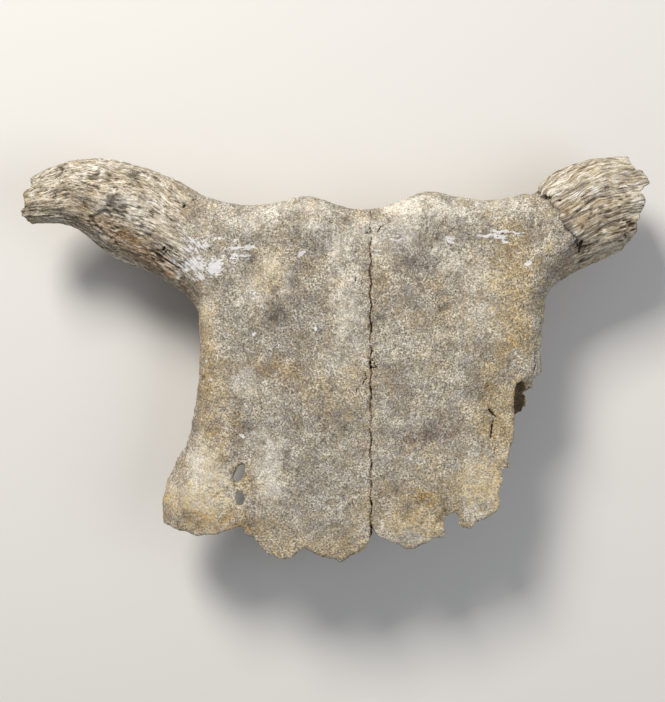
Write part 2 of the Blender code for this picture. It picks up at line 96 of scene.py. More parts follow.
def eased(low: float, high: float, value: np.ndarray) -> np.ndarray:
    """A smooth step from 0 at low to 1 at high.

    Args:
        low: where the step starts.
        high: where it ends, which may be below low.
        value: the values to step.

    Returns:
        The steps, from 0 to 1.
    """
    t = np.clip((value - low) / (high - low), 0, 1)
    return t * t * (3 - 2 * t)


@dataclass(frozen=True)
class Noise:
    """Seeded noise over points in millimetres."""

    seed: int

    def draws(self, cells: np.ndarray, salt: int = 0) -> np.ndarray:
        """One random number from 0 to 1 for each whole-numbered cell.

        Args:
            cells: whole numbers, three to a row.
            salt: picks another set of numbers.

        Returns:
            One number for each row.
        """
        parts = cells.astype(np.int64).astype(np.uint32)
        mixed = parts[..., 0] * np.uint32(374761393) + parts[..., 1] * np.uint32(668265263)
        mixed = mixed + parts[..., 2] * np.uint32(2246822519)
        mixed = mixed + np.uint32((self.seed * 7919 + salt * 104729) % 2**32)
        mixed = (mixed ^ (mixed >> np.uint32(15))) * np.uint32(2246822519)
        mixed = (mixed ^ (mixed >> np.uint32(13))) * np.uint32(3266489917)
        mixed = mixed ^ (mixed >> np.uint32(16))
        return (mixed & np.uint32(0xFFFFFF)).astype(np.float64) / 0xFFFFFF

    def smooth(self, points: np.ndarray, size: float, salt: int = 0) -> np.ndarray:
        """Smooth noise with lumps of about the given size.

        Args:
            points: positions, three to a row.
            size: the size of a lump.
            salt: picks another pattern.

        Returns:
            Values from -1 to 1.
        """
        scaled = points / size
        corner = np.floor(scaled)
        part = scaled - corner
        part = part * part * part * (part * (part * 6 - 15) + 10)
        total = np.zeros(len(points))
        for i in range(8):
            step = np.array([i & 1, (i >> 1) & 1, (i >> 2) & 1])
            weight = np.prod(np.where(step == 1, part, 1 - part), axis=1)
            total += weight * self.draws(corner + step, salt)
        return total * 2 - 1

    def layered(self, points: np.ndarray, size: float, layers: int, salt: int = 0) -> np.ndarray:
        """Smooth noise with finer layers added.

        Args:
            points: positions, three to a row.
            size: the size of the largest lumps.
            layers: how many layers, each half the size and height of the last.
            salt: picks another pattern.

        Returns:
            Values from about -1 to 1.
        """
        total, height, whole = np.zeros(len(points)), 1.0, 0.0
        for i in range(layers):
            total += height * self.smooth(points + 17.3 * i, size / 2**i, salt + i)
            whole += height
            height *= 0.55
        return total / whole * 1.6

    def pores(self, points: np.ndarray, size: float, salt: int = 0) -> np.ndarray:
        """Round pores, one in each cell.

        Args:
            points: positions, three to a row.
            size: the size of a cell.
            salt: picks another pattern.

        Returns:
            0 away from the pores, up to 1 in their middles.
        """
        scaled = points / size
        corner = np.floor(scaled)
        nearest = np.full(len(points), 9.0)
        for i in range(27):
            cell = corner + np.array([i % 3 - 1, i // 3 % 3 - 1, i // 9 - 1])
            seeds = np.stack([self.draws(cell, salt + k) for k in range(3)], axis=1)
            gap = np.linalg.norm(cell + 0.15 + 0.7 * seeds - scaled, axis=1)
            reach = 0.25 + 0.5 * self.draws(cell, salt + 3)
            nearest = np.minimum(nearest, gap / reach)
        return eased(1.0, 0.2, nearest)


@dataclass(frozen=True)
class ForeheadFrame:
    """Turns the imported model's metres into millimetres on the forehead, and back."""

    suture_x: float
    edge_y: float
    floor_z: float
    broken_edge_y: float = -100.9
    depth: float = 57.0

    @classmethod
    def of_skull(cls) -> "ForeheadFrame":
        """The frame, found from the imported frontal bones."""
        right_low, right_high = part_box("right_frontal")
        left_low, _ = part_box("left_frontal")
        return cls((right_high.x + left_low.x) / 2, right_low.y, 0.0)

    def from_model(self, points: np.ndarray) -> np.ndarray:
        """Millimetres on the forehead for points in the model's metres."""
        low = np.array([self.suture_x, self.edge_y, self.floor_z])
        return (points - low) / MM + np.array([0.0, self.broken_edge_y, -self.depth])

    def to_model(self, x: float, y: float, z: float) -> Vector:
        """Metres in the model for a point in millimetres on the forehead."""
        return Vector((
            self.suture_x + x * MM,
            self.edge_y + (y - self.broken_edge_y) * MM,
            self.floor_z + (z + self.depth) * MM,
        ))


@dataclass(frozen=True)
class Patch:
    """A stain or mark on the forehead: its middle, half sizes, turn and strength."""

    x: float
    y: float
    half_x: float
    half_y: float
    strength: float
    turn: float = 0.0

    def spread(self, points: np.ndarray, ragged: np.ndarray) -> np.ndarray:
        """How strongly the patch shows at each point.

        Args:
            points: positions on the forehead.
            ragged: noise that breaks up the patch's edge.

        Returns:
            Strengths from 0 to 1.
        """
        turn = math.radians(self.turn)
        across, up = points[:, 0] - self.x, points[:, 1] - self.y
        u = (across * math.cos(turn) + up * math.sin(turn)) / self.half_x
        v = (up * math.cos(turn) - across * math.sin(turn)) / self.half_y
        return self.strength * eased(1.35, 0.25, np.hypot(u, v) + 0.55 * ragged)


@dataclass(frozen=True)
class Scar:
    """A narrow slot or scratch from one point to another, with its half width and depth."""

    start: tuple[float, float]
    end: tuple[float, float]
    half_width: float
    depth: float

    def gap(self, points: np.ndarray) -> np.ndarray:
        """How far each point is from the scar's middle line, in half widths.

        Args:
            points: positions on the forehead.

        Returns:
            The distances, which grow faster towards the scar's two ends.
        """
        start, along = np.array(self.start), np.array(self.end) - np.array(self.start)
        flat = points[:, :2] - start
        t = np.clip(flat @ along / max(along @ along, 1e-6), 0, 1)
        away = np.linalg.norm(flat - t[:, None] * along, axis=1)
        taper = 1.0 - 0.55 * np.abs(t * 2 - 1) ** 3
        return away / (self.half_width * taper) + 9.0 * (points[:, 2] < -26)


# Grey patches: mostly stains, with two patches of painted shade on the last line.
GREY_STAINS_AND_SHADE = (
    Patch(-38, 40.5, 12, 4, 0.85, 65), Patch(-27, 57, 10, 7, 0.7, -20), Patch(-60, 58, 11, 5, 0.55),
    Patch(-64, 50, 12, 3, 0.6), Patch(-62, -2, 9, 18, 0.45), Patch(-32, 20, 12, 7, 0.45, 20),
    Patch(-24, 9.5, 4, 8, 0.55, -10), Patch(-34, -3, 5, 5, 0.55), Patch(-46, 7, 8, 5, 0.4),
    Patch(-56, 11, 5, 5, 0.5), Patch(-2, 63, 3.4, 3, 0.7), Patch(14.7, 50.5, 7, 4.5, 0.8, -10),
    Patch(24.8, 55.4, 7, 5, 0.6, 15), Patch(28.5, 67.5, 5, 4.5, 0.5), Patch(21.6, 44.7, 9, 5, 0.5),
    Patch(40.2, 37.7, 5, 8, 0.45), Patch(20.6, 28.7, 13, 10, 0.3), Patch(77.9, 58, 5, 3, 0.5),
    Patch(17, -20, 8, 12, 0.65, 35), Patch(28, -38, 21, 7.5, 1.0, 12), Patch(-28, -58, 8, 27, 0.45),
    Patch(52, -3, 12, 10, 0.25), Patch(-12, -42, 10, 22, 0.35), Patch(-46, -30, 10, 14, 0.35),
    Patch(-40, 18, 16, 17, 0.6), Patch(20, 47, 13, 8, 0.8), Patch(16, -12, 16, 6, 0.6, -45),
    Patch(-72, 28, 9, 12, 0.35), Patch(4, -64, 6, 14, 0.3), Patch(60, -14, 7, 10, 0.35),
    # On the next line, Patch(-104, 52) paints shade on the lower side of the right horn core and Patch(98, 62) paints
    # shadow beside the left horn core's burr.
    Patch(-119, 76, 14, 6, 0.2, -15), Patch(-104, 52, 14, 6, 0.5, -35), Patch(98, 62, 4, 8, 0.6, 20),
)
OCHRE_STAINS = (
    Patch(-30, 44, 5.5, 5, 0.5), Patch(-32, 32.5, 5, 4, 0.5), Patch(-47, 31, 9, 7, 0.35),
    Patch(-46, -5.5, 12, 6.5, 0.7, -10), Patch(-66, -31, 4, 6, 0.7), Patch(-80, -9, 4, 32, 0.5),
    Patch(65.7, 53, 7, 7, 0.45), Patch(72.6, 36, 10, 13, 0.4), Patch(5, 34.5, 5.5, 7, 0.45),
    Patch(31.7, 35.6, 6, 4.5, 0.35), Patch(34.9, 20.7, 5, 4.5, 0.35), Patch(71, 12.8, 11, 15, 0.45),
    Patch(62, 6, 7, 7, 0.3), Patch(15.8, 43.6, 4, 3, 0.4), Patch(25.5, -68.6, 6.5, 4, 1.0),
    Patch(56, -66, 13, 10, 0.4), Patch(-76, -80, 15, 6, 0.8), Patch(-97, -76, 7, 15, 0.4),
    Patch(-20, -97, 46, 6, 0.45), Patch(14, -75, 10, 13, 0.45), Patch(0.5, -8, 3.4, 14, 0.6),
    Patch(42, -84, 14, 8, 0.45), Patch(64, -44, 7, 14, 0.45), Patch(-64, -58, 6, 9, 0.5),
    Patch(-66, -84, 12, 5, 0.6), Patch(-169, 73, 5, 7, 0.6), Patch(-142, 74, 3, 2.5, 0.8),
    Patch(-154, 80, 12, 5, 0.3), Patch(-118, 60, 26, 6, 0.4, -28), Patch(101, 69, 7, 7, 0.5),
    Patch(74, -20, 6, 13, 0.8), Patch(121, 71, 9, 8, 0.4), Patch(108, 63, 9, 3, 0.5), Patch(107, 93, 9, 4, 0.35),
)
CHALK_MARKS = (
    Patch(-76, 45.3, 5.6, 5.4, 0.95, -20), Patch(-86, 44, 12, 7, 0.7, -25), Patch(-64.3, 53.7, 8, 1.1, 1.0, 2),
    Patch(-73.5, 58.4, 4.2, 0.8, 0.9, 4), Patch(-66.2, 57.6, 3.6, 0.7, 0.6), Patch(-68.6, 46.2, 3.6, 0.8, 0.8, -12),
    Patch(-88, 55, 9, 5, 0.6), Patch(-70, 49.5, 13, 2.4, 0.55), Patch(62, 59.5, 13, 4, 0.5), Patch(-34.4, 50.4, 2.4, 1.1, 1.0, 42), Patch(-57.4, 31.4, 1.1, 1.0, 0.9),
    Patch(-27.2, 13.7, 0.9, 1.6, 1.0), Patch(-57.2, 11.5, 1.6, 0.9, 0.7, 30), Patch(-81.2, -2.2, 1.0, 1.3, 0.8),
    Patch(-79.3, -11.5, 1.0, 1.2, 0.8), Patch(-26.6, -14.7, 0.9, 1.1, 0.8), Patch(65.7, 61.6, 9, 1.2, 0.85, -5),
    Patch(59, 57.3, 3.4, 2.2, 0.5), Patch(77.4, 46.2, 1.3, 2.2, 0.9, -35), Patch(39, 58.4, 3, 2.6, 0.55),
    Patch(9, 61, 9, 7, 0.3), Patch(3, 55, 4, 5, 0.3), Patch(100, 58, 4, 4.5, 0.35),
    Patch(104.7, 79.8, 10, 4, 0.35, 15), Patch(-104, 77, 12, 4, 0.3, -20), Patch(-63.7, -38.7, 2.3, 1.1, 1.2, -30),
)
PALE_AREAS = (
    Patch(18, 73.5, 13, 6, 0.8), Patch(11.5, 63.7, 10, 7, 0.65), Patch(19.5, 59, 6.5, 5, 0.6),
    Patch(6.7, 56.8, 7, 9, 0.6), Patch(39, 44.6, 9, 4.5, 0.45, 12), Patch(52.4, 36.7, 14, 11, 0.3),
    Patch(55, 18, 14, 15, 0.2), Patch(60, 75, 15, 5, 0.4), Patch(36, 72, 15, 6, 0.6),
    Patch(-48.5, 46, 8, 9, 0.6), Patch(-28.4, 64, 10, 5, 0.55), Patch(-14, 55.7, 11, 8, 0.5),
    Patch(-6, 62, 8, 7, 0.55), Patch(-14, 32, 8, 22, 0.25), Patch(-11, 5, 10, 15, 0.3),
    Patch(-56, 36, 8, 12, 0.4), Patch(-41.4, 36.7, 2.6, 7, 0.6, -15), Patch(-33, 74, 13, 5, 0.6),
    Patch(-62, 68, 20, 8, 0.4), Patch(-83, -66, 15, 22, 0.8), Patch(56, -62, 15, 14, 0.5),
    Patch(-95, -70, 8, 14, 0.5), Patch(20, -84, 16, 10, 0.3), Patch(-80, 20, 4, 26, 0.35),
    Patch(-118, 74, 20, 8, 0.6, -15), Patch(-50, -56, 10, 20, 0.55), Patch(-12, 20, 8, 18, 0.5),
    Patch(-63, -12, 6, 8, 0.5),
)
# Dark brown patches, partly soil stains and partly painted shade: on the lower side of the right horn core, in the
# corner beside it, in the groove above the right eye and in the band beside the left horn core's burr.
SOIL_AND_SHADE_AREAS = (
    Patch(-112, 50, 26, 6, 0.9, -36), Patch(-92, 34, 5, 16, 0.7, 12), Patch(-140, 66, 14, 4, 0.5, -20),
    Patch(-172, 76, 3, 8, 0.5), Patch(-92, 71, 7, 4, 0.4, -30), Patch(96, 70, 2.5, 8, 0.6, 8),
    Patch(101, 54, 5, 7, 0.7), Patch(96, 46, 6, 5, 0.6, 40), Patch(27, -39, 17, 5, 0.5, 12),
    Patch(126, 62, 12, 4, 0.5, 25), Patch(-88, 5, 4, 48, 0.6), Patch(-47, -6, 10, 4, 0.35, -10),
    Patch(-66, -40, 4, 22, 0.15), Patch(26, -69, 5, 3, 0.5), Patch(-76, -86, 14, 3, 0.4),
)
TAN_AREAS = (
    Patch(70, 30, 15, 34, 1.0), Patch(73, 57, 14, 10, 0.8), Patch(53, -62, 26, 18, 1.0),
    Patch(63, -26, 16, 28, 1.0), Patch(40, -58, 22, 9, 0.6), Patch(24, -77, 24, 13, 0.9), Patch(-77, -40, 9, 40, 0.8),
    Patch(-86, -72, 24, 16, 1.0), Patch(-50, -88, 24, 11, 0.6), Patch(-20, -17, 24, 10, 0.6, 8),
    Patch(-50, 44, 11, 12, 0.7), Patch(4, 44, 10, 12, 0.5), Patch(-81, 3, 7, 36, 0.8),
    Patch(40, 20, 22, 30, 0.35), Patch(-14, -93, 34, 8, 0.6),
)
SCARS = (
    Scar((57.8, -25.5), (61.7, -29.9), 0.6, 1.6), Scar((60.0, -31.4), (58.8, -40.2), 0.55, 1.7),
    Scar((57.4, -14.0), (57.7, -14.6), 0.8, 1.0), Scar((-66.4, -38.3), (-65.2, -38.6), 0.5, 0.9),
    Scar((81.5, -3.5), (80.4, -7.5), 0.4, 0.7), Scar((-61.2, -77.0), (-62.5, -83.0), 0.3, 0.5),
    Scar((3.5, 14.0), (4.5, 10.0), 0.35, 0.4), Scar((-7.4, 39.4), (-8.2, 34.8), 0.8, 0.3),
    Scar((0.3, -1.0), (-1.2, -5.0), 0.35, 0.7), Scar((0.7, -1.0), (3.0, -5.6), 0.4, 0.7),
    Scar((-1.6, -5.2), (2.4, -5.2), 0.5, 0.8), Scar((-2.6, -7.4), (-3.0, -9.4), 0.4, 0.7),
    Scar((-3.0, -10.8), (-4.4, -13.8), 0.5, 0.7), Scar((-1.8, -9.0), (-2.8, -12.0), 0.3, 0.7),
    Scar((2.0, -9.2), (3.0, -10.6), 0.45, 0.7), Scar((-7.0, -15.6), (-7.3, -18.4), 0.3, 0.6),
    Scar((3.2, 61.6), (5.0, 64.6), 0.9, 0.4), Scar((-3.6, 61.0), (-0.4, 60.8), 0.8, 0.4),
    Scar((-8.6, 30.2), (-8.8, 29.7), 0.7, 0.4), Scar((-91.4, 75.0), (-92.6, 74.0), 0.7, 1.2),
    Scar((-87.4, 78.0), (-88.6, 77.6), 0.4, 0.6), Scar((-101.2, 54.0), (-102.8, 52.2), 0.7, 1.4),
    Scar((83.2, 51.6), (83.6, 51.2), 0.6, 0.6), Scar((42.6, 57.4), (43.4, 57.0), 0.45, 0.5),
    Scar((103.6, 57.4), (102.6, 51.4), 1.1, 1.1), Scar((86.4, 79.6), (89.2, 78.2), 0.9, 1.1),
    Scar((92.6, 77.0), (93.6, 76.2), 0.6, 1.0), Scar((-40.0, 20.5), (-40.4, 20.1), 0.6, 0.5),
)
# Each shell fleck: its middle, half sizes and turn. Its rim is white and its middle is bone.
SHELL_FLECK = Patch(-45.5, 5.9, 1.0, 2.1, 1.0, 22)
STAR_PITS = (
    (1.0, 3.0, 0.4), (-1.1, 15.2, 0.4), (1.1, 22.4, 0.45), (-1.2, -22.0, 0.4), (1.5, -18.2, 0.4),
)
# The crack between the frontal bones: how far up, and half its width there.
CRACK = (
    (-93, 0.8), (-84, 0.6), (-80, 0.1), (-60, 0.1), (-28, 0.12), (-20, 0.0), (-12, 0.1), (-6.5, 0.0),
    (-4, 0.25), (-1, 0.2), (2, -0.05), (6, -0.05), (25, 0.05), (28, 0.25), (40, 0.32), (55, 0.25),
    (58, -0.1), (73, -0.3),
)


@dataclass(frozen=True)
class HornAxis:
    """The middle line of a horn core: x outwards, with y, z and half the thickness."""

    side: int
    stations: tuple[tuple[float, float, float, float], ...]
    burr_x: float
    proud: float
    groove_length: float
    wander: float
    stepped: bool = False

    def off_axis(self, points: np.ndarray) -> tuple[np.ndarray, np.ndarray, np.ndarray, np.ndarray]:
        """Where each point is beside the horn core's middle line.

        Args:
            points: positions on the forehead.

        Returns:
            The distance outwards, the y and z offsets from the line, and half the thickness there.
        """
        table = np.array(self.stations)
        out = points[:, 0] * self.side
        y = points[:, 1] - np.interp(out, table[:, 0], table[:, 1])
        z = points[:, 2] - np.interp(out, table[:, 0], table[:, 2])
        return out, y, z, np.interp(out, table[:, 0], table[:, 3])

    def around(self, points: np.ndarray) -> tuple[np.ndarray, np.ndarray]:
        """Where each point is along and around the horn core.

        Args:
            points: positions on the forehead.

        Returns:
            The distance outwards, and the position on an even tube around the axis.
        """
        out, y, z, _ = self.off_axis(points)
        spread = np.maximum(np.hypot(y, z), 1e-6)
        tube = np.stack([out, y / spread * 18, z / spread * 18], axis=1)
        return out, tube

    def share(self, out: np.ndarray, points: np.ndarray, on_core: bool) -> np.ndarray:
        """How far the horn core's surface has taken over from the forehead's.

        Args:
            out: how far outwards each point is.
            points: positions on the forehead.
            on_core: whether the points are on the horn core's own bone.

        Returns:
            Shares from 0 to 1, which change at the bone's edge where the core is stepped.
        """
        if self.stepped:
            # The core's edge is sharp towards the poll and worn away towards the eye.
            sharp = float(on_core) * eased(51, 59, points[:, 1])
            worn = eased(self.burr_x - 2.0, self.burr_x + 14.0, out) * eased(61, 53, points[:, 1])
            return np.maximum(sharp, worn) * (points[:, 0] * self.side > 60)
        ramp = eased(self.burr_x - 14.0, self.burr_x + 4.0, out)
        return ramp * (points[:, 0] * self.side > 60) * eased(2, 22, points[:, 1])

    def end(self, points: np.ndarray, normals: np.ndarray) -> np.ndarray:
        """How far each point is on the broken end, where the spongy inside shows.

        Args:
            points: positions on the forehead.
            normals: which way the surface faces at each.

        Returns:
            Shares from 0 to 1.
        """
        out, y, z, radius = self.off_axis(points)
        face = eased(0.4, 0.75, normals[:, 0] * self.side)
        hollow = eased(0.8, 0.65, np.hypot(y, z) / radius)
        return np.maximum(face, hollow) * (out > self.stations[-1][0] - 24)


RIGHT_AXIS = HornAxis(-1, (
    (78, 44.5, -22, 20), (90, 56, -22, 22), (108, 67, -22, 22), (128, 73.5, -20, 20),
    (148, 79.4, -16, 14), (168, 76, -13, 9), (178, 73, -12, 7),
), 94.0, 0.0, 13.0, 0.9)
LEFT_AXIS = HornAxis(1, (
    (78, 45.5, -22, 20), (90, 61, -22, 23), (112, 73.5, -21, 22), (134, 78, -19, 19),
    (146, 80, -18, 18),
), 94.0, 1.1, 24.0, 0.5, True)


@dataclass(frozen=True)
class Seam:
    """The line where the two frontal bones meet, and how wide it has cracked open."""

    ups: np.ndarray
    acrosses: np.ndarray

    @classmethod
    def of_frontals(cls, place: ForeheadFrame, reach_mm: float = 0.6, top_mm: float = -14.0) -> "Seam":
        """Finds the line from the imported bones.

        Args:
            place: turns metres into millimetres on the forehead.
            reach_mm: how near the left bone a point of the right bone's seam is.
            top_mm: the lowest point that counts.

        Returns:
            The seam.
        """
        tree = tree_of(bpy.data.objects["left_frontal"])
        corners = [v.co for v in bpy.data.objects["right_frontal"].data.vertices]
        near = [co for co in corners if tree.find_nearest(co, reach_mm * MM)[0] is not None]
        points = place.from_model(np.array(near))
        points = points[points[:, 2] > top_mm]
        points = points[np.argsort(points[:, 1])]
        return cls(points[:, 1], points[:, 0])

    def gap(self, points: np.ndarray) -> np.ndarray:
        """How far each point is outside the open crack, in millimetres.

        Args:
            points: positions on the forehead.

        Returns:
            The distances, which are below 0 inside the crack.
        """
        table = np.array(CRACK)
        away = np.abs(points[:, 0] - np.interp(points[:, 1], self.ups, self.acrosses))
        gap = away - np.interp(points[:, 1], table[:, 0], table[:, 1])
        for x, y, reach in STAR_PITS:
            gap = np.minimum(gap, np.hypot(points[:, 0] - x, points[:, 1] - y) - reach)
        return np.clip(gap + 9.0 * (points[:, 2] < -14), -3, 9)


@dataclass(frozen=True)
class Relief:
    """The surface's fine shape: how far each point stands out, in millimetres."""

    noise: Noise
    seam: Seam
    swells: float = 0.4
    grain: float = 0.2
    erosion: float = 0.22
    groove_depth: float = 0.85
    crackle_depth: float = 0.4
    fibre_height: float = 0.28
    pit_depth: float = 0.9
    break_depth: float = 0.75
    sponge_depth: float = 1.1
    crack_depth: float = 0.5

    def grooves(self, tube: np.ndarray, long: float, wide: float, sharp: float, salt: int) -> np.ndarray:
        """Long narrow grooves that run along a horn core.

        Args:
            tube: positions on the even tube around the axis.
            long: how long a groove runs.
            wide: how far apart grooves are.
            sharp: how narrow a groove is, as a share of the spacing.
            salt: picks another pattern.

        Returns:
            0 between grooves, up to 1 in their middles.
        """
        lines = np.abs(self.noise.smooth(tube / np.array([long, wide, wide]), 1.0, salt))
        return eased(sharp, 0.0, lines)

    def wavy(self, tube: np.ndarray, wander: float) -> np.ndarray:
        """The tube's positions pushed sideways, so that grooves on them run in waves.

        Args:
            tube: positions on the even tube around the axis.
            wander: how far they are pushed.

        Returns:
            The new positions.
        """
        slow = self.noise.smooth(tube, 12.0, 50)[:, None]
        quick = self.noise.smooth(tube, 4.0, 60)[:, None]
        return tube + (slow + 0.45 * quick) * np.array([0, wander, -wander])

    def horn(self, points: np.ndarray, axis: HornAxis) -> np.ndarray:
        """The relief of a horn core.

        Args:
            points: positions on the forehead.
            axis: the horn core's middle line.

        Returns:
            Heights in millimetres.
        """
        _, tube = axis.around(points)
        rough = 0.75 + 0.45 * eased(5, -14, tube[:, 1]) + 0.3 * self.noise.smooth(tube, 15.0, 13)
        wavy = self.wavy(tube, axis.wander)
        long = axis.groove_length
        broken = eased(-0.35, 0.15, self.noise.smooth(tube, 9.0, 15))
        height = -self.groove_depth * broken * self.grooves(wavy, long * 1.6, 5.0, 0.14, 11)
        height -= self.crackle_depth * self.grooves(wavy, long * 0.5, 2.2, 0.2, 21)
        height -= 0.7 * self.crackle_depth * self.grooves(wavy, long * 0.35, 1.4, 0.26, 25)
        height += self.fibre_height * self.noise.layered(wavy * np.array([3.0 / long, 1, 1]), 2.2, 2, 41)
        pits = self.noise.pores(wavy * np.array([0.4, 1, 1]), 1.7, 31)
        height -= self.pit_depth * pits * eased(0.0, 0.5, self.noise.smooth(tube, 7.0, 33))
        return (height + 0.3) * rough

    def opened(self, points: np.ndarray) -> np.ndarray:
        """How deep the crack between the frontal bones has worn at each point.

        Args:
            points: positions on the forehead.

        Returns:
            Depths in millimetres.
        """
        chipped = self.noise.smooth(points, 2.2, 71)
        return self.crack_depth * eased(0.8, -0.5, self.seam.gap(points) + 0.5 * chipped)

    def scarred(self, points: np.ndarray) -> tuple[np.ndarray, np.ndarray]:
        """The small slots and pits on the forehead and horn cores.

        Args:
            points: positions on the forehead.

        Returns:
            Their depths in millimetres, and how far each point is from the nearest, in half widths.
        """
        depth, nearest = np.zeros(len(points)), np.full(len(points), 9.0)
        for scar in SCARS:
            gap = scar.gap(points)
            depth = np.maximum(depth, scar.depth * eased(1.5, 0.4, gap))
            # A shallow scar is drawn less dark, as if from further away.
            nearest = np.minimum(nearest, gap + max(0.0, 0.8 - scar.depth))
        return depth, nearest

    def heights(self, points: np.ndarray, normals: np.ndarray, inner: float,
                shares: dict[HornAxis, np.ndarray], ends: np.ndarray) -> np.ndarray:
        """How far each point stands out from the plain solid.

        Args:
            points: positions on the forehead.
            normals: which way the surface faces at each.
            inner: 1 for a bone of the braincase, which is broken all over, or 0.
            shares: for each horn core, how far it counts at each point.
            ends: how far each point is on the broken end of a horn core.

        Returns:
            Heights in millimetres.
        """
        noise = self.noise
        height = self.swells * noise.layered(points, 17.0, 3, 1)
        height += self.grain * noise.layered(points, 2.6, 2, 2)
        worn = eased(0.05, 0.6, noise.layered(points, 6.0, 3, 3))
        height -= self.erosion * worn
        edge = eased(0.75, 0.2, np.abs(normals[:, 2]))
        front = eased(-22, -40, points[:, 1])
        chips = noise.layered(points * np.array([1, 1, 0.5]), 4.5, 3, 6)
        height += self.break_depth * chips * edge * np.maximum(front, 0.55 * inner)
        below = eased(-0.15, -0.5, normals[:, 2])
        broken = np.maximum(below * (0.35 + 0.65 * inner), inner * 0.4)
        height -= self.sponge_depth * noise.pores(points, 4.2, 7) * broken * (0.3 + 0.7 * worn)
        if ends.any():
            height -= self.sponge_depth * noise.pores(points, 3.0, 8) * ends
            height += 0.5 * noise.layered(points, 6.0, 3, 9) * ends
        for axis, share in shares.items():
            height = height * (1 - share * 0.6) + self.horn(points, axis) * share
        return height


@dataclass(frozen=True)
class Stains:
    """Named stains and painted shade, kept on the mesh as one number for each point."""

    noise: Noise

    def layer(self, patches: tuple[Patch, ...], points: np.ndarray, size: float, salt: int) -> np.ndarray:
        """How strongly a set of patches shows at each point.

        Args:
            patches: the patches of one colour.
            points: positions on the forehead.
            size: the size of the breaks in their edges.
            salt: picks another pattern.

        Returns:
            Strengths from 0 to 1.
        """
        ragged = self.noise.layered(points, size, 4, salt)
        ragged = ragged + 0.6 * self.noise.layered(points, size * 0.3, 2, salt + 7)
        shown = np.zeros(len(points))
        for patch in patches:
            shown = np.maximum(shown, patch.spread(points, ragged))
        return shown

    def layers(self, points: np.ndarray, core: np.ndarray) -> dict[str, np.ndarray]:
        """The strengths of all the stains and of the painted shade.

        Args:
            points: positions on the forehead.
            core: how far each point is on a horn core.

        Returns:
            One array of strengths for each stain's name.
        """
        top = eased(-32, -14, points[:, 2])
        streaks = points * np.array([0.3, 1.0, 1.0])
        chalk = self.layer(CHALK_MARKS, points, 3.0, 103)
        chalk = chalk * eased(-0.8, 0.0, self.noise.layered(streaks, 1.9, 2, 104) + chalk - 0.35)
        still = np.zeros(len(points))
        ring = SHELL_FLECK.spread(points, still)
        chalk = np.maximum(chalk, ring * (1 - 0.7 * eased(0.7, 0.95, ring)))
        cloud = self.noise.layered(points, 20.0, 4, 105)
        grey = np.maximum(self.layer(GREY_STAINS_AND_SHADE, points, 6.0, 101) * top, 0.3 * eased(0.1, 0.8, cloud))
        ochre = self.layer(OCHRE_STAINS, points, 6.0, 102) * top
        drift = self.noise.layered(points + 70, 13.0, 4, 106)
        low = eased(-10, -40, points[:, 2] + 5.0 * cloud) * (1 - core)
        ochre = np.maximum(ochre, (0.3 + 0.4 * low) * eased(0.1, 0.75, drift))
        pale = self.layer(PALE_AREAS, points, 6.0, 107) * top
        tan = self.layer(TAN_AREAS, points, 9.0, 108) * top
        # Soil stains and painted shade; the bone is also painted darker brown lower down.
        soil_and_shade = np.maximum(self.layer(SOIL_AND_SHADE_AREAS, points, 6.0, 109), 0.5 * low)
        return {"grey": grey, "ochre": ochre, "chalk": chalk * top, "pale": pale, "tan": tan, "soil_and_shade": soil_and_shade}


